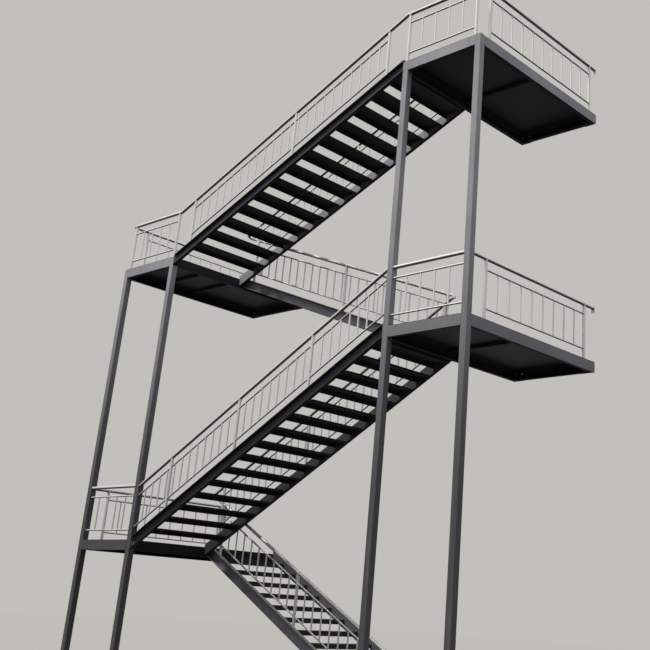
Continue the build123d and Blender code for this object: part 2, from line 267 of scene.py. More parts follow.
def turned(profile, sides):
    """A solid of revolution with flat ends."""
    return (spun(profile, sides), *capped(len(profile), sides))


def ring(inner, outer, height, sides):
    """A collar: a low hill of (radius, height) round Z, joined to itself through its bore."""
    middle = (inner + outer) / 2
    profile = [(inner, 0), (outer, 0), (middle * 1.03, height * 0.75), (inner, height)]
    return (spun(profile, sides), *faces_of(len(profile), sides, looped=True))


# %% Carried shapes
WAVE_STEP = 2.4
WAVE_SHIFT = 7


def carried(profile, start, end, across, up, steps=1, swell=0.0):
    """A closed profile carried from start to end: start + t (end - start) + a across + b up.

    swell makes it fatter and thinner along the way, as a hand-laid weld is. The wave begins
    elsewhere for each start, so no two welds look alike.
    """
    start, end = np.asarray(start, float), np.asarray(end, float)
    across, up = np.asarray(across, float), np.asarray(up, float)
    profile = np.asarray(profile, float)
    t = np.linspace(0, 1, steps + 1)
    size = 1 + swell * np.sin(t * steps * WAVE_STEP + start.sum() * WAVE_SHIFT)
    section = profile[:, :1] * across + profile[:, 1:] * up
    points = start + t[:, None, None] * (end - start) + size[:, None, None] * section
    corners, sizes = capped(steps + 1, len(profile))
    if np.dot(np.cross(across, up), end - start) < 0:
        corners, sizes = corners[::-1], sizes[::-1]
    return points.reshape(-1, 3), corners, sizes


def slab(corner, opposite):
    """A plate between two opposite corners."""
    low, high = np.minimum(corner, opposite), np.maximum(corner, opposite)
    size = high - low
    profile = [(0, 0), (size[0], 0), (size[0], size[1]), (0, size[1])]
    return carried(profile, low, (low[0], low[1], high[2]), (1, 0, 0), (0, 1, 0))


# %% [markdown]
# ## Writing materials as sums
#
# Weathered paint is a sum of masks: streaks, rust, dust and wear. Written with node calls
# that is hard to read, so one class wraps a socket and lets Python's own operators lay
# the Math nodes, and another holds a material and makes every other node.


# %% A socket that can be added and multiplied
class Wire:
    """One output socket. Each operator lays a Math node behind it."""

    def __init__(self, paint, socket):
        self.paint = paint
        self.socket = socket

    def __add__(self, other):
        return self.paint.maths("ADD", self, other)

    def __sub__(self, other):
        return self.paint.maths("SUBTRACT", self, other)

    def __rsub__(self, other):
        return self.paint.maths("SUBTRACT", other, self)

    def __mul__(self, other):
        return self.paint.maths("MULTIPLY", self, other)

    __radd__ = __add__
    __rmul__ = __mul__


# %% A material that makes its nodes
class Paint:
    """A material, the method that lays any node in it, and short names for common nodes."""

    def __init__(self, name):
        self.material = bpy.data.materials.new(name)
        self.material.use_nodes = True
        self.tree = self.material.node_tree
        self.tree.nodes.clear()
        self.place = self.node("ShaderNodeTexCoord", output="Object")

    def node(self, kind, settings=None, inputs=None, output=0):
        """A node of a kind: its settings first, then its inputs, then the wire of one output."""
        node = self.tree.nodes.new(kind)
        for key, value in (settings or {}).items():
            setattr(node, key, value)
        for key, value in (inputs or {}).items():
            if isinstance(value, Wire):
                self.tree.links.new(value.socket, node.inputs[key])
            else:
                node.inputs[key].default_value = value
        return Wire(self, node.outputs[output]) if len(node.outputs) else node

    def maths(self, operation, first, second=0.0):
        """One sum of two values."""
        return self.node("ShaderNodeMath", {"operation": operation}, {0: first, 1: second})

    def stretched(self, x, y, z):
        """The place in the stair's frame, with each axis scaled."""
        scale = {0: self.place, 1: (x, y, z)}
        return self.node("ShaderNodeVectorMath", {"operation": "MULTIPLY"}, scale)

    def noise(self, scale, detail=4.0, rough=0.55, where=None):
        """Cloudy noise from 0 to 1."""
        inputs = {"Vector": where or self.place, "Scale": scale}
        inputs |= {"Detail": detail, "Roughness": rough}
        return self.node("ShaderNodeTexNoise", None, inputs)

    def rise(self, value, low, high):
        """0 below low, 1 above high, smooth between them."""
        inputs = {"Value": value, "From Min": low, "From Max": high}
        return self.node("ShaderNodeMapRange", {"interpolation_type": "SMOOTHSTEP"}, inputs)

    def mix(self, share, first, second):
        """A colour that goes from the first to the second."""
        colours = [c if isinstance(c, Wire) else (*c, 1.0) for c in (first, second)]
        inputs = {0: share, 6: colours[0], 7: colours[1]}
        return self.node("ShaderNodeMix", {"data_type": "RGBA"}, inputs, output=2)

    def axis(self, name, vector=None):
        """One coordinate of a vector, or of the place."""
        return self.node("ShaderNodeSeparateXYZ", None, {0: vector or self.place}, output=name)

    def under_deck(self):
        """1 between the outer faces of a landing's beams, 0 on those faces."""
        skin, inside = 0.001, 0.006
        middle = (LEFT_TOWER[0] + RIGHT_TOWER[1]) / 2
        reach = RIGHT_TOWER[1] - middle
        along = self.maths("ABSOLUTE", self.axis("X") - middle)
        off_ends = self.rise(along, reach - skin, reach - inside)
        return off_ends * self.rise(self.axis("Y"), FRONT + skin, FRONT + inside)

    def upward(self):
        """How far a face looks up: 1 on tops, 0 on sides, -1 on undersides."""
        return self.axis("Z", self.node("ShaderNodeNewGeometry", output="Normal"))

    def facing_down(self, low=0.25, high=0.9):
        """1 on undersides, 0 on sides and tops."""
        return self.rise(0 - self.upward(), low, high)

    def finish(self, colour, rough, metal, height, depth, bump=0.6, gleam=0.5):
        """The shader: colour, roughness and metal may vary, and height makes the relief.

        gleam is the strength of the plain reflection, 0.5 for clean paint and less for sooty.
        """
        hills = {"Strength": bump, "Distance": depth, "Height": height}
        relief = self.node("ShaderNodeBump", None, hills)
        inputs = {"Base Color": colour, "Roughness": rough, "Metallic": metal, "Normal": relief}
        inputs["Specular IOR Level"] = gleam
        shader = self.node("ShaderNodeBsdfPrincipled", None, inputs)
        self.node("ShaderNodeOutputMaterial", None, {"Surface": shader})
        return self.material


# %% [markdown]
# ## Painted steel
#
# The posts, beams and stringers wear a blue-grey paint that years of rain have streaked.
# Dirt runs straight down, so the streaks are noise squeezed in height. Rust breaks through
# in spots where a slow noise and a fast one are both high, and there is more of it near
# the ground. The colour is painted darker towards the bottom, as painted shade, and the
# undersides and the inner faces under a deck are painted near black, as painted shade.
# Each body of steel has its own tone, and some stringers wear a darker copy as painted shade.


# %% Blue-grey paint
# Near black: the painted shade on undersides and on the faces under a deck.
PAINTED_SHADE_TONE = (0.010, 0.010, 0.012)


def painted(name, tone, shade, rust, low_shade_share, shaded_under_deck=False):
    """Weathered paint: mottled tone, run-down streaks, rust spots and painted shade below.

    Low down only a given share of the darker tone is left, a painted shade that deepens
    towards the bottom. Undersides are painted near black as painted shade, and when asked
    for, so are the inner faces under a deck.
    """
    paint = Paint(name)
    cloud = paint.noise(1.3, 3.0)
    grain = paint.noise(46.0, 5.0, 0.65)
    streaks = paint.noise(1.0, 4.0, 0.6, paint.stretched(17.0, 17.0, 0.9))
    runs = paint.rise(streaks, 0.52, 0.74)
    spots = paint.rise(paint.noise(5.5, 7.0, 0.68) + 0.25 * grain, 0.86 - rust, 0.95 - rust)
    low = 1 - paint.rise(paint.axis("Z"), 0.02, 0.55)
    splash = paint.rise(paint.noise(8.0, 6.0, 0.7) + 0.35 * low, 0.72, 0.92) * low
    rusty = paint.maths("MAXIMUM", spots, splash)
    # Painted shade: undersides, and for beams the faces under a deck, go near black.
    painted_shade_mask = paint.facing_down()
    if shaded_under_deck:
        painted_shade_mask = paint.maths("MAXIMUM", painted_shade_mask, paint.under_deck())
    # Painted shade: the paint darkens from about eight metres down to about three.
    above_low_shade = paint.rise(paint.axis("Z") + 0.8 * cloud, 3.2, 8.4)
    colour = paint.mix(paint.rise(cloud, 0.3, 0.7), tone, shade)
    colour = paint.mix(above_low_shade, tuple(low_shade_share * part for part in shade), colour)
    colour = paint.mix(runs * 0.42, colour, tuple(0.42 * part for part in tone))
    colour = paint.mix(paint.rise(grain, 0.58, 0.8) * 0.16, colour, (0.42, 0.42, 0.44))
    rust_tone = paint.mix(paint.noise(70.0), (0.085, 0.030, 0.014), (0.24, 0.095, 0.035))
    colour = paint.mix(rusty * 0.85, colour, rust_tone)
    colour = paint.mix(painted_shade_mask * 0.97, colour, PAINTED_SHADE_TONE)
    rough = 0.5 + 0.18 * cloud + 0.3 * rusty + 0.1 * runs + 0.35 * painted_shade_mask
    height = 0.5 * grain + 0.8 * rusty
    return paint.finish(colour, rough, metal=0.0, height=height, depth=0.0008, gleam=0.25)


post_paint = painted(
    "post paint", (0.330, 0.330, 0.352), (0.255, 0.255, 0.275), rust=0.03, low_shade_share=0.22
)
# The beams also get painted shade, near black, on their inner faces under the deck.
beam_paint = painted(
    "beam paint", (0.325, 0.325, 0.350), (0.250, 0.250, 0.272), 0.02, 0.22, shaded_under_deck=True
)
# A darker copy of the stringer paint: painted shade for webs shaded by their flanges.
shaded_stringer_paint = painted(
    "shaded stringer paint", (0.120, 0.121, 0.131), (0.078, 0.079, 0.087), rust=0.02, low_shade_share=0.3
)
grey_paint = painted(
    "grey stringer paint", (0.265, 0.265, 0.285), (0.190, 0.190, 0.207), rust=0.02, low_shade_share=0.85
)
plate_paint = painted(
    "plate paint", (0.150, 0.150, 0.162), (0.100, 0.100, 0.110), rust=0.09, low_shade_share=0.8
)

# %% [markdown]
# ## Dark plate
#
# Decks and treads are dark plate. From below they are painted almost black, as painted shade.
# From above, feet have scuffed the paint off the middle of the way and dust lies at its sides,
# so the wear mask falls away from the middle line of each lane.


# %% Charcoal paint with a trodden way
LANE_HALF = (LANE_LINE - FRONT) / 2


def plate(name, tone, worn):
    """Charcoal paint, scuffed to bare metal where people walk, dusty beside that."""
    paint = Paint(name)
    cloud = paint.noise(2.1, 4.0)
    grain = paint.noise(60.0, 5.0, 0.7)
    across = paint.axis("Y")
    lane = paint.maths("PINGPONG", across - FRONT, LANE_HALF)
    trodden = paint.rise(lane, LANE_HALF / 3, LANE_HALF)
    scuffs = paint.rise(paint.noise(1.0, 6.0, 0.7, paint.stretched(9.0, 26.0, 9.0)), 0.5, 0.68)
    up = paint.rise(paint.upward(), 0.3, 0.8)
    bare = scuffs * trodden * up * worn
    dust = paint.rise(cloud + 0.2 * grain, 0.45, 0.85) * up * 0.5
    colour = paint.mix(cloud, tone, tuple(0.6 * part for part in tone))
    colour = paint.mix(dust, colour, (0.16, 0.15, 0.135))
    colour = paint.mix(bare, colour, (0.42, 0.41, 0.40))
    spots = paint.rise(paint.noise(7.0, 7.0, 0.7) + 0.2 * grain, 0.86, 0.96)
    colour = paint.mix(spots * 0.7, colour, (0.10, 0.045, 0.020))
    rough = 0.6 + 0.2 * dust - 0.25 * bare
    # Painted shade: the undersides go near black.
    colour = paint.mix(paint.facing_down(), colour, PAINTED_SHADE_TONE)
    height = grain + spots
    return paint.finish(colour, rough, metal=bare * 0.8, height=height, depth=0.0006, gleam=0.12)


deck_paint = plate("deck paint", (0.030, 0.030, 0.034), worn=0.45)
tread_paint = plate("tread paint", (0.026, 0.026, 0.030), worn=0.5)
checker_paint = plate("raised pattern", (0.045, 0.045, 0.050), worn=1.0)

# %% [markdown]
# ## Brushed stainless tube
#
# The railings are pale brushed tube. Brushing leaves short fine scratches, water leaves
# faint tea-coloured stains, and the undersides are painted near black as painted shade. The
# tube's colour is also painted darker towards the bottom, as painted shade. The scratches
# only stir the roughness, so the tubes keep a broad soft shine.


# %% Stainless steel
def stainless(name, tone, underside_shade_strength):
    """Brushed tube: bright metal, tea stains, fine scratches, painted shade below and low down."""
    paint = Paint(name)
    scratches = paint.noise(1.0, 3.0, 0.8, paint.stretched(55.0, 55.0, 420.0))
    cloud = paint.noise(3.2, 5.0, 0.6)
    tea = paint.rise(paint.noise(9.0, 6.0, 0.7), 0.56, 0.78)
    # Painted shade: the undersides of the tubes go near black.
    under = paint.facing_down(-0.05, 0.5) * underside_shade_strength
    colour = paint.mix(cloud, tone, tuple(0.84 * part for part in tone))
    # Painted shade: the tube darkens from about seven metres down to about one.
    tube_above_low_shade = paint.rise(paint.axis("Z") + cloud, 1.5, 7.5)
    colour = paint.mix(tube_above_low_shade, tuple(0.55 * part for part in tone), colour)
    colour = paint.mix(tea * 0.35, colour, (0.46, 0.38, 0.29))
    colour = paint.mix(under, colour, (0.045, 0.042, 0.040))
    rough = 0.34 + 0.06 * scratches + 0.1 * cloud + 0.25 * under
    return paint.finish(colour, rough, metal=0.45, height=scratches, depth=0.0001, bump=0.08)


tube_steel = stainless("brushed tube", (0.86, 0.85, 0.83), underside_shade_strength=0.95)
collar_steel = stainless("weld collars", (0.34, 0.31, 0.28), underside_shade_strength=0.8)

# %% [markdown]
# ## Zinc
#
# Bolts are zinc, dull and speckled, with patches of rust. Weld beads were painted over with
# the steel round them, so they share its paint.


# %% Zinc
def zinc(name):
    """Dull zinc: speckled grey, rust in patches."""
    paint = Paint(name)
    speckle = paint.noise(130.0, 3.0)
    rust = paint.rise(paint.noise(22.0, 6.0, 0.7), 0.50, 0.66)
    colour = paint.mix(speckle, (0.30, 0.30, 0.31), (0.50, 0.50, 0.50))
    colour = paint.mix(rust * 0.75, colour, (0.17, 0.075, 0.030))
    rough, metal = 0.42 + 0.35 * rust, 0.75 - 0.6 * rust
    return paint.finish(colour, rough, metal, height=speckle + rust, depth=0.0004)


bolt_zinc = zinc("bolt zinc")

# %% [markdown]
# ## Paint on the model's own nodes
#
# The big parts need no new shapes, only their finish. A node's name says what it is, so the
# first word that fits picks its material.

# %% Materials of the nodes
FINISHES = (
    ("railing", tube_steel),
    ("treads", tread_paint),
    ("deck", deck_paint),
    ("flight_2_front_stringer", shaded_stringer_paint),
    ("flight_2_rear_stringer", shaded_stringer_paint),
    ("flight_4_front_stringer", shaded_stringer_paint),
    ("stringer", grey_paint),
    ("frame", beam_paint),
    ("plates", plate_paint),
    ("post", post_paint),
)
for name, node in nodes.items():
    material = next(material for word, material in FINISHES if word in name)
    node.data.materials.clear()
    node.data.materials.append(material)
print("painted", len(nodes), "nodes")

# %% [markdown]
# ## Anchor bolts
#
# Each base plate stands on four anchors, each end of a landing's rear beam hangs on four,
# and the lowest flight stands on four more. An anchor shows a washer, a nut and a stud's
# end. One bolt is three turned shapes, some fifty faces, copied wherever the plates have
# holes.


# %% One bolt
WASHER = 0.003


def bolt(nut_radius, washer_radius, stud_radius, stud_end):
    """Washer, nut and stud on one axis, with the stud standing out of the nut."""
    washer = turned([(washer_radius, 0), (washer_radius, WASHER)], sides=14)
    height = nut_radius * 0.9
    shoulder, top = WASHER + height * 0.85, WASHER + height
    nut = [(nut_radius, WASHER), (nut_radius, shoulder), (nut_radius * 0.85, top)]
    end = top + stud_end
    stud = [(stud_radius, height), (stud_radius, end - 0.002), (stud_radius * 0.75, end)]
    return join([washer, turned(nut, sides=6), turned(stud, sides=8)])


def corners_round(x, y, apart):
    """Four places round a middle, so far apart each way."""
    return [(x + i * apart[0] / 2, y + j * apart[1] / 2) for i in (-1, 1) for j in (-1, 1)]


# %% Ground anchors
anchor = bolt(nut_radius=0.0139, washer_radius=0.015, stud_radius=0.008, stud_end=0.010)
places = [(*spot, BASE_PLATE) for x in POSTS_X for spot in corners_round(x, 0, BASE_HOLES)]
foot_x = FLIGHTS[1].foot - FOOT_PLATE_LENGTH / 2
for y in (rear_lane[0] + FOOT_HOLE_LINE, rear_lane[1] - FOOT_HOLE_LINE):
    places += [(foot_x + side * FOOT_HOLES / 2, y, FOOT_PLATE) for side in (-1, 1)]
piece("ground_anchors", copies(anchor, places), bolt_zinc)

# %% Wall anchors
beam_face = WALL - WALL_PLATE - BEAM_WEB
places = []
for number, level in LEVELS.items():
    left, right = tower_of(number)
    middle = level - DECK - BEAM_DEPTH / 2
    for x in (left + WALL_PLATE_WIDTH / 2, right - WALL_PLATE_WIDTH / 2):
        places += [(px, beam_face, pz) for px, pz in corners_round(x, middle, WALL_HOLES)]
piece("wall_anchors", copies(anchor, places, (0, -1, 0)), bolt_zinc)

# %% [markdown]
# ## Cleats
#
# A stringer ends plumb against the landing's side beam. A plate closes its hollow end and is
# bolted to the beam, and a smaller plate on the web is bolted to the stringer. Both are
# flat, so each is a slab between two corners, with two small bolts.

# %% Cleats and their bolts
CLEAT = 0.006
CLEAT_LENGTH = 0.058
CLEAT_DROPS = (0.085, 0.015)
END_WIDTH = 0.057
END_MARGIN = 0.005
BOLT_DROPS = (0.067, 0.033)
WEB_BOLT_AWAY = 0.036
BEAM_BOLT_OUT = 0.032
cleat_bolt = bolt(nut_radius=0.0095, washer_radius=0.011, stud_radius=0.005, stud_end=0.004)
cleats, web_bolts, beam_bolts = [], [], []
for flight in FLIGHTS.values():
    ends = [(flight.head, -flight.forward, flight.high)]
    if flight.number > 1:
        ends.append((flight.foot, flight.forward, flight.low))
    webs = (
        (flight.lane[0] + STRINGER_FLANGE - STRINGER_WEB, -1),
        (flight.lane[1] - STRINGER_FLANGE + STRINGER_WEB, 1),
    )
    steep = math.hypot(1, flight.slope)
    for x, away, level in ends:
        end_low = flight.seat(x) - (STRINGER_DEPTH - END_MARGIN) * steep
        end_high = flight.seat(x) - END_MARGIN * steep
        for y, out in webs:
            low, high = (level - drop for drop in CLEAT_DROPS)
            cleats.append(slab((x, y, low), (x + away * CLEAT_LENGTH, y + out * CLEAT, high)))
            far = (x + away * CLEAT, y + out * END_WIDTH, end_high)
            cleats.append(slab((x, y, end_low), far))
            for z in (level - drop for drop in BOLT_DROPS):
                web_bolts.append(((x + away * WEB_BOLT_AWAY, y + out * CLEAT, z), (0, out, 0)))
                beam_bolts.append(((x + away * CLEAT, y + out * BEAM_BOLT_OUT, z), (away, 0, 0)))
piece("stringer_cleats", join(cleats), plate_paint)
spots, directions = zip(*web_bolts, *beam_bolts)
piece("cleat_bolts", copies(cleat_bolt, spots, directions), bolt_zinc)

# %% [markdown]
# ## Weld beads
#
# The frames are welded. A bead is a small hill carried along the joint, a little fatter
# here and thinner there, because a hand laid it. The beads on the posts and beams have many
# steps. Those on the treads, over a hundred of them, have few.

# %% The bead's two profiles
SEAM = [(-0.006, -0.001), (0.006, -0.001), (0.003, 0.0018), (0.0, 0.0024), (-0.003, 0.0018)]
FILLET = [(0.0, 0.0), (0.007, 0.0), (0.0045, 0.0032), (0.0032, 0.0045), (0.0, 0.007)]
FOOT_BEAD = {"steps": 14, "swell": 0.12}
SEAM_BEAD = {"steps": 18, "swell": 0.10}
TREAD_BEAD = {"steps": 5, "swell": 0.12}
FOOT_BEAD_HALF = 0.044
TREAD_BEAD_ENDS = (0.012, 0.050)

# %% Welds of the posts' feet
beads = []
for x in POSTS_X:
    for way in ((1, 0, 0), (0, 1, 0), (-1, 0, 0), (0, -1, 0)):
        side = np.cross((0, 0, 1), way) * FOOT_BEAD_HALF
        middle = np.array((x, 0, BASE_PLATE)) + np.multiply(way, POST / 2)
        ends = (middle - side, middle + side)
        beads.append(carried(FILLET, *ends, way, (0, 0, 1), **FOOT_BEAD))
piece("post_foot_welds", join(beads), plate_paint, smooth=True)

# %% Welds of the landings: two at each post, but none where landing 3 covers one
beads = []
for number, level in LEVELS.items():
    left, right = tower_of(number)
    low, top = level - DECK - BEAM_DEPTH, level - DECK
    for x, inward in ((left, 1), (right, -1)):
        if number == 3 and x == right:
            continue
        front = (x + inward * POST, FRONT), (1, 0, 0), (0, -1, 0)
        side = (x, POST / 2), (0, 1, 0), (-inward, 0, 0)
        for spot, across, out in (front, side):
            beads.append(carried(SEAM, (*spot, low), (*spot, top), across, out, **SEAM_BEAD))
piece("landing_welds", join(beads), beam_paint, smooth=True)

# %% Welds of the treads
beads = []
for flight in FLIGHTS.values():
    near, far = flight.lane[0] + STRINGER_FLANGE, flight.lane[1] - STRINGER_FLANGE
    from_front, from_back = (flight.forward * gap for gap in TREAD_BEAD_ENDS)
    for x, back, z in flight.treads():
        for y, inward in ((near, 1), (far, -1)):
            ends = ((x + from_front, y, z), (back - from_back, y, z))
            beads.append(carried(FILLET, *ends, (0, inward, 0), (0, 0, 1), **TREAD_BEAD))
piece("tread_welds", join(beads), tread_paint, smooth=True)

# %% [markdown]
# ## Railing joints
#
# Every newel, baluster and rail is welded where it meets another tube, and the weld leaves a
# low collar. The collars stand square to the rail they sit on, which slopes on a flight.
# To find them all, each railing is a list of places along a line, as in the model.


# %% Where the tubes meet
BALUSTER_GAP = 0.010
SUNK = 0.001
COLLAR = {"baluster": 0.0025, "newel": 0.005, "rail": 0.0025, "handrail": 0.005}
collar_spots = {kind: [] for kind in COLLAR}


def shares(first, last, pitch, newels=()):
    """Places of the balusters: evenly between two ends, leaving out those at a newel."""
    bays = max(1, round(abs(last - first) / pitch))
    places = first + (last - first) * np.arange(1, bays) / bays
    reach = RADIUS["newel"] + RADIUS["baluster"] + BALUSTER_GAP
    kept = [place for place in places if all(abs(place - newel) > reach for newel in newels)]
    return np.array(kept)


def collar(kind, places, up):
    """Notes collars of one kind at places, all facing one way."""
    collar_spots[kind] += [(tuple(place), tuple(up)) for place in places]


def level_railing(along, fixed, level, stops, has_newels):
    """Collars of a level railing that runs along X or Y at a fixed other coordinate."""

    def at(s, z):
        s, z = np.broadcast_arrays(np.asarray(s, float), z)
        other = np.full(s.shape, fixed)
        return np.stack([s, other, z] if along == "x" else [other, s, z], axis=-1)

    places = shares(*stops, PITCH)
    bottom, top = level + BOTTOM_RAIL_UP, level + TOP_RAIL_UP
    collar("baluster", at(places, bottom + RADIUS["rail"] - SUNK), (0, 0, 1))
    collar("baluster", at(places, top - RADIUS["rail"] + SUNK), (0, 0, -1))
    if has_newels:
        under = level + HANDRAIL_UP - RADIUS["handrail"] + 2 * SUNK
        collar("newel", at(stops, level), (0, 0, 1))
        collar("newel", at(stops, under), (0, 0, -1))
    out = 1 if stops[1] > stops[0] else -1
    start = RADIUS["newel"] - SUNK if has_newels else 0.0
    way = np.array([1.0, 0, 0] if along == "x" else [0, 1.0, 0])
    for z in (bottom, top):
        collar("rail", at([stops[0] + out * start], z), way * out)
        collar("rail", at([stops[1] - out * start], z), -way * out)


# %% Collars of the landings' railings
for number, level in LEVELS.items():
    left, right = tower_of(number)
    on_posts = number <= 2
    outer, inward = outer_end(number)
    inner = outer + inward * (right - left - POST)
    if on_posts:
        stops = [outer + inward * POST / 2, inner - inward * POST / 2]
    else:
        stops = [outer + inward * CORNER_SETBACK, inner]
    level_railing("x", outer_rail, level, stops, not on_posts)
    side_x = side_line(number)
    level_railing("y", side_x, level, [SIDE_NEWEL[number], END_NEWEL[number]], True)
    if on_posts:
        for x, way in ((stops[0], inward), (stops[1], -inward)):
            collar("handrail", [(x, outer_rail, level + HANDRAIL_UP)], (way, 0, 0))
        collar("handrail", [(side_x, POST / 2, level + HANDRAIL_UP)], (0, 1, 0))
level_railing("y", guard_rail, LEVELS[4], GUARD_NEWELS, True)


# %% Collars of the flights' railings
def flight_railing(flight, y, newels, pitch, on_posts=False):
    """Collars of a sloping railing. Up is square to the slope, and newels stand plumb."""
    ends = (LEFT_TOWER[1], RIGHT_TOWER[0]) if on_posts else (newels[0], newels[-1])
    places = shares(*ends, pitch, newels)
    normal = np.array([-flight.forward * flight.slope, 0, 1])
    steep = math.hypot(1, flight.slope)

    def at(x, up):
        x = np.asarray(x, float)
        return np.stack([x, np.full(x.shape, y), flight.seat(x) + up], axis=-1)

    rail_half, handrail_half = RADIUS["rail"] * steep, RADIUS["handrail"] * steep
    top, hand = TOP_RAIL_UP - STRINGER_RISE, HANDRAIL_UP - STRINGER_RISE
    collar("baluster", at(places, BOTTOM_RAIL_UP + rail_half - SUNK), normal)
    collar("baluster", at(places, top - rail_half + SUNK), -normal)
    collar("newel", at(newels, 0), normal)
    collar("newel", at(newels, hand - handrail_half + 2 * SUNK), -normal)
    if on_posts:
        along = np.array([1.0, 0, flight.forward * flight.slope])
        for x, way in zip(ends, (1, -1)):
            for kind, up in (("rail", BOTTOM_RAIL_UP), ("rail", top), ("handrail", hand)):
                collar(kind, at([x], up), along * way)


def newels_between(left_setback, right_setback, share):
    """Places of three newels: one near each tower, one at a share of the way between."""
    left, right = LEFT_TOWER[1] + left_setback, RIGHT_TOWER[0] - right_setback
    return [left, left + (right - left) * share, right]


OUTER_SHARES = (0.148, 0.437, 0.726)
NEWELS = {
    1: newels_between(left_setback=0.300, right_setback=0.335, share=0.4345),
    2: newels_between(left_setback=0.300, right_setback=0.195, share=0.4187),
    3: newels_between(left_setback=0.300, right_setback=0.195, share=0.517),
    4: newels_between(left_setback=0.364, right_setback=0.364, share=0.5487),
}
tower_gap = RIGHT_TOWER[0] - LEFT_TOWER[1]
outer_newels = [LEFT_TOWER[1] + tower_gap * share for share in OUTER_SHARES]
flight_railing(FLIGHTS[1], rear_lane_rail, NEWELS[1], FLIGHT_PITCH)
flight_railing(FLIGHTS[2], outer_rail, outer_newels, FLIGHT_2_PITCH, on_posts=True)
flight_railing(FLIGHTS[2], front_lane_rail, NEWELS[2], FLIGHT_2_PITCH)
flight_railing(FLIGHTS[3], rear_lane_rail, NEWELS[3], FLIGHT_PITCH)
flight_railing(FLIGHTS[4], outer_rail, NEWELS[4], FLIGHT_PITCH)
flight_railing(FLIGHTS[4], front_lane_rail, NEWELS[4], FLIGHT_PITCH)

# %% The collars themselves
for kind, spots in collar_spots.items():
    radius, size = RADIUS[kind], COLLAR[kind]
    shape = ring(radius - SUNK, radius + size, size, sides=12)
    middles, directions = zip(*spots)
    collars = copies(shape, middles, directions)
    piece(f"{kind}_weld_collars", collars, collar_steel, smooth=True)

# %% [markdown]
# ## Wall tabs and the handrail's free end
#
# Where a handrail meets the wall a flat tab hangs below the tube, held by two screws. It
# ends flush with the tube's top. At the foot of the stair the tube is closed by a low dome.
# The tabs are plates between two corners, and the screws and the dome are turned shapes.

# %% Tabs and their screws
TAB_HALF = 0.030
TAB_DROP = 0.075
TAB_PLATE = 0.005
SCREW_ASIDE = 0.015
SCREW_DROP = 0.055
screw = turned([(0.0045, 0.0), (0.0045, 0.001), (0.003, 0.0025)], sides=8)
tab_face = WALL - TAB_PLATE
rail_ends = [(side_line(number), level + HANDRAIL_UP) for number, level in LEVELS.items()]
rail_ends.append((guard_rail, LEVELS[4] + HANDRAIL_UP))
tabs = []
screw_places = []
for x, z in rail_ends:
    low = (x - TAB_HALF, tab_face, z - TAB_DROP)
    tabs.append(slab(low, (x + TAB_HALF, WALL, z + RADIUS["handrail"])))
    screw_places += [(x + side * SCREW_ASIDE, tab_face, z - SCREW_DROP) for side in (-1, 1)]
tabs.append(copies(screw, screw_places, (0, -1, 0)))
piece("wall_tabs", join(tabs), tube_steel)

# %% The dome on the handrail's foot
DOME_RADIUS = 0.0248
DOME_HEIGHT = 0.008
angle = np.linspace(0, math.pi / 2, 6)[:-1]
dome = turned(list(zip(DOME_RADIUS * np.cos(angle), DOME_HEIGHT * np.sin(angle))), sides=24)
lowest = FLIGHTS[1]
dome_place = (lowest.foot, rear_lane_rail, lowest.low + HANDRAIL_UP)
dome_shape = copies(dome, [dome_place], (-lowest.forward, 0, -lowest.slope))
piece("handrail_end_dome", dome_shape, tube_steel, smooth=True)

# %% [markdown]
# ## The raised pattern
#
# Decks and treads are checker plate: small lens-shaped bars stand on the sheet, turned left
# and right by turns. As a real shape each bar needs only a dozen triangles, so twenty-five
# thousand of them are still light, and they catch the light as bump alone can't.

# %% One bar of the pattern, and a field of them
BAR_PITCH = 0.036
BAR_SUNK = 0.0004
LANDING_MARGIN = 0.012
TREAD_MARGIN = 0.010
AFTER_RIBS = 0.040
BEFORE_BACK = 0.004
POST_REACH = 0.066
NEWEL_REACH = 0.038
CORNER_REACH = 0.040
RIB_WIDTH = 0.005
RIB_HEIGHT = 0.0014
RIB_OFFSETS = (0.006, 0.016, 0.026)


def bar_of_pattern(length, width, height):
    """A long low hexagon with a ridge, closed below."""
    near, side = length * 0.24, width / 2
    tip = length / 2
    base = [(-tip, 0), (-near, -side), (near, -side), (tip, 0), (near, side), (-near, side)]
    points = [(*p, -BAR_SUNK) for p in base] + [(-near, 0, height), (near, 0, height)]
    sides = [(0, 1, 6), (1, 2, 7, 6), (2, 3, 7), (3, 4, 7), (4, 5, 6, 7), (5, 0, 6)]
    faces = [*sides, (5, 4, 3, 2, 1, 0)]
    sizes = np.array([len(face) for face in faces])
    return np.array(points), np.concatenate(faces), sizes


def field(low_x, high_x, low_y, high_y, z, keep_off=()):
    """Places of the bars on a level plate, in rows and columns, and which way each turns.

    keep_off lists what stands on the plate: its place and how far the bars stay from it.
    """
    across = np.arange(low_x + BAR_PITCH / 2, high_x - BAR_PITCH / 2, BAR_PITCH)
    along = np.arange(low_y + BAR_PITCH / 2, high_y - BAR_PITCH / 2, BAR_PITCH)
    column, row = np.meshgrid(np.arange(len(across)), np.arange(len(along)), indexing="ij")
    x, y = across[column].ravel(), along[row].ravel()
    turn = np.where((column + row).ravel() % 2, 1.0, -1.0)
    kept = np.ones(len(x), bool)
    for px, py, reach in keep_off:
        kept &= (np.abs(x - px) > reach) | (np.abs(y - py) > reach)
    places = np.stack([x, y, np.full(x.shape, z)], axis=-1)[kept]
    ways = np.stack([np.ones(x.shape), turn, np.zeros(x.shape)], axis=-1)[kept]
    return places, ways


one_bar = bar_of_pattern(length=0.026, width=0.007, height=0.0016)

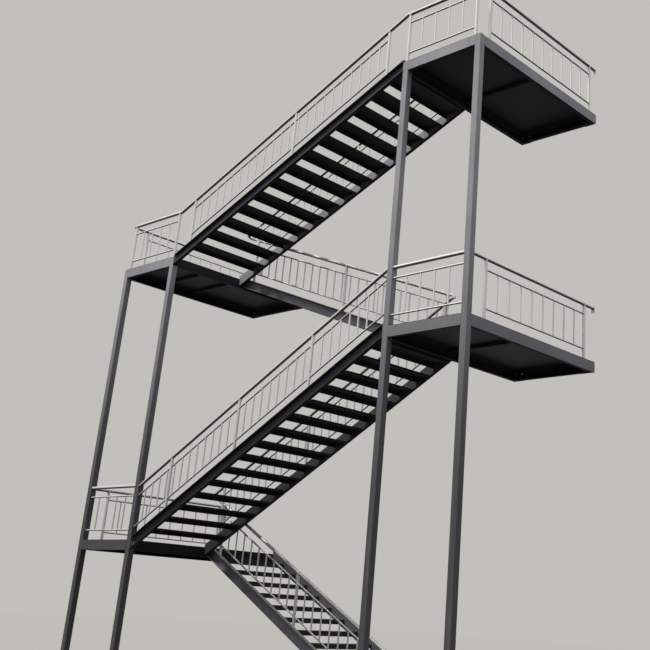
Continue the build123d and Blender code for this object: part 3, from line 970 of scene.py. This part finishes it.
# %% The pattern on the landings
for number, level in LEVELS.items():
    left, right = tower_of(number)
    outer, inward = outer_end(number)
    side_newels = (SIDE_NEWEL[number], END_NEWEL[number])
    feet = [(x, 0.0, POST_REACH) for x in POSTS_X]
    feet += [(side_line(number), y, NEWEL_REACH) for y in side_newels]
    feet += [(guard_rail, y, NEWEL_REACH) for y in GUARD_NEWELS]
    feet.append((outer + inward * CORNER_SETBACK, outer_rail, CORNER_REACH))
    rear = WALL - WALL_PLATE - LANDING_MARGIN
    places, ways = field(left, right, FRONT, rear, level, feet)
    shape = copies(one_bar, places, (0, 0, 1), ways)
    piece(f"landing_{number}_raised_pattern", shape, checker_paint)

# %% The pattern and the ribbed noses of the treads
for flight in FLIGHTS.values():
    near = flight.lane[0] + STRINGER_FLANGE + TREAD_MARGIN
    far = flight.lane[1] - STRINGER_FLANGE - TREAD_MARGIN
    forward = flight.forward
    bars, ribs = [], []
    for x, back, z in flight.treads():
        ends = sorted((x + forward * AFTER_RIBS, back - forward * BEFORE_BACK))
        places, ways = field(*ends, near, far, z)
        bars.append(copies(one_bar, places, (0, 0, 1), ways))
        for offset in RIB_OFFSETS:
            start, end = x + forward * offset, x + forward * (offset + RIB_WIDTH)
            ribs.append(slab((start, near, z - BAR_SUNK), (end, far, z + RIB_HEIGHT)))
    name = f"flight_{flight.number}_raised_pattern"
    piece(name, join(bars), checker_paint)
    piece(f"flight_{flight.number}_nose_ribs", join(ribs), checker_paint)

# %% [markdown]
# ## Floor, light and camera
#
# A plain pale floor and a soft studio light show the stair as it is. The lamp stands high
# in front and to the left, so flanges shade the webs under them. The floor and the sky
# look pale to the camera and in reflections but give little light from below, which with
# the painted shade on them keeps the undersides of the landings dark.

# %% The floor
FLOOR_SEEN = (0.245, 0.238, 0.226)
FLOOR_LIGHT = (0.035, 0.034, 0.033)
FLOOR_REACH = 60.0


def pale(tree, kind, seen, light):
    """A surface or sky that shows one tone to the eye and in metal, and lights with another."""
    path = tree.nodes.new("ShaderNodeLightPath")
    looked_at = path.outputs["Is Camera Ray"]
    for ray in ("Is Glossy Ray", "Is Transmission Ray"):
        larger = tree.nodes.new("ShaderNodeMath")
        larger.operation = "MAXIMUM"
        tree.links.new(looked_at, larger.inputs[0])
        tree.links.new(path.outputs[ray], larger.inputs[1])
        looked_at = larger.outputs[0]
    chooser = tree.nodes.new("ShaderNodeMixShader")
    tree.links.new(looked_at, chooser.inputs[0])
    shaders = []
    for place, tone in ((1, light), (2, seen)):
        shader = tree.nodes.new(kind)
        shader.inputs["Color"].default_value = (*tone, 1.0)
        tree.links.new(shader.outputs[0], chooser.inputs[place])
        shaders.append(shader)
    return chooser.outputs[0], shaders


floor_mesh = bpy.data.meshes.new("floor")
square = ((-1, -1), (1, -1), (1, 1), (-1, 1))
floor_points = [(x * FLOOR_REACH, y * FLOOR_REACH, 0) for x, y in square]
floor_mesh.from_pydata(floor_points, [], [[0, 1, 2, 3]])
floor = bpy.data.objects.new("floor", floor_mesh)
bpy.context.scene.collection.objects.link(floor)
floor_paint = bpy.data.materials.new("floor")
floor_paint.use_nodes = True
tree = floor_paint.node_tree
tree.nodes.clear()
output = tree.nodes.new("ShaderNodeOutputMaterial")
shown, _ = pale(tree, "ShaderNodeBsdfDiffuse", FLOOR_SEEN, FLOOR_LIGHT)
tree.links.new(shown, output.inputs["Surface"])
floor_mesh.materials.append(floor_paint)

# %% The sky, whose light grows from nothing at the horizon
SKY_STRENGTH = 1.3
FULL_FROM = 0.6
SKY_SEEN = (0.54, 0.525, 0.50)
SKY_LIGHT = (0.93, 0.96, 1.0)
world = bpy.data.worlds.new("studio")
bpy.context.scene.world = world
world.use_nodes = True
sky = world.node_tree
sky.nodes.clear()
world_output = sky.nodes.new("ShaderNodeOutputWorld")
shown, (lighting, _) = pale(sky, "ShaderNodeBackground", SKY_SEEN, SKY_LIGHT)
direction = sky.nodes.new("ShaderNodeTexCoord")
height = sky.nodes.new("ShaderNodeSeparateXYZ")
overhead = sky.nodes.new("ShaderNodeMapRange")
overhead.inputs["From Max"].default_value = FULL_FROM
overhead.inputs["To Max"].default_value = SKY_STRENGTH
sky.links.new(direction.outputs["Generated"], height.inputs[0])
sky.links.new(height.outputs["Z"], overhead.inputs["Value"])
sky.links.new(overhead.outputs[0], lighting.inputs["Strength"])
sky.links.new(shown, world_output.inputs["Surface"])

# %% The lamp
sun = bpy.data.lights.new("key", "SUN")
sun.energy = 3.8
sun.angle = math.radians(16)
sun.color = (1.0, 0.96, 0.90)
key = bpy.data.objects.new("key", sun)
bpy.context.scene.collection.objects.link(key)
towards = Vector((-0.30, -0.55, 1.25))
key.rotation_mode = "QUATERNION"
key.rotation_quaternion = towards.to_track_quat("Z", "Y")

# %% The camera: the picture's side, its focal length and its axis are in pixels
SENSOR = 36.0
PICTURE = 650
FOCAL = 1018.869
AXIS_X, AXIS_Y = 450, 240
EYE = (15.7826, -9.5661, 1.8820)
TURN = (110.0799, -3.0693, 39.5593)
camera_data = bpy.data.cameras.new("camera")
camera_data.sensor_width = SENSOR
camera_data.lens = FOCAL / PICTURE * SENSOR
camera_data.shift_x = (PICTURE / 2 - AXIS_X) / PICTURE
camera_data.shift_y = (AXIS_Y - PICTURE / 2) / PICTURE
camera_data.clip_start, camera_data.clip_end = 0.1, 300.0
camera = bpy.data.objects.new("camera", camera_data)
bpy.context.scene.collection.objects.link(camera)
camera.location = EYE
camera.rotation_euler = [math.radians(angle) for angle in TURN]
bpy.context.scene.camera = camera
bpy.context.scene.view_settings.view_transform = "Standard"
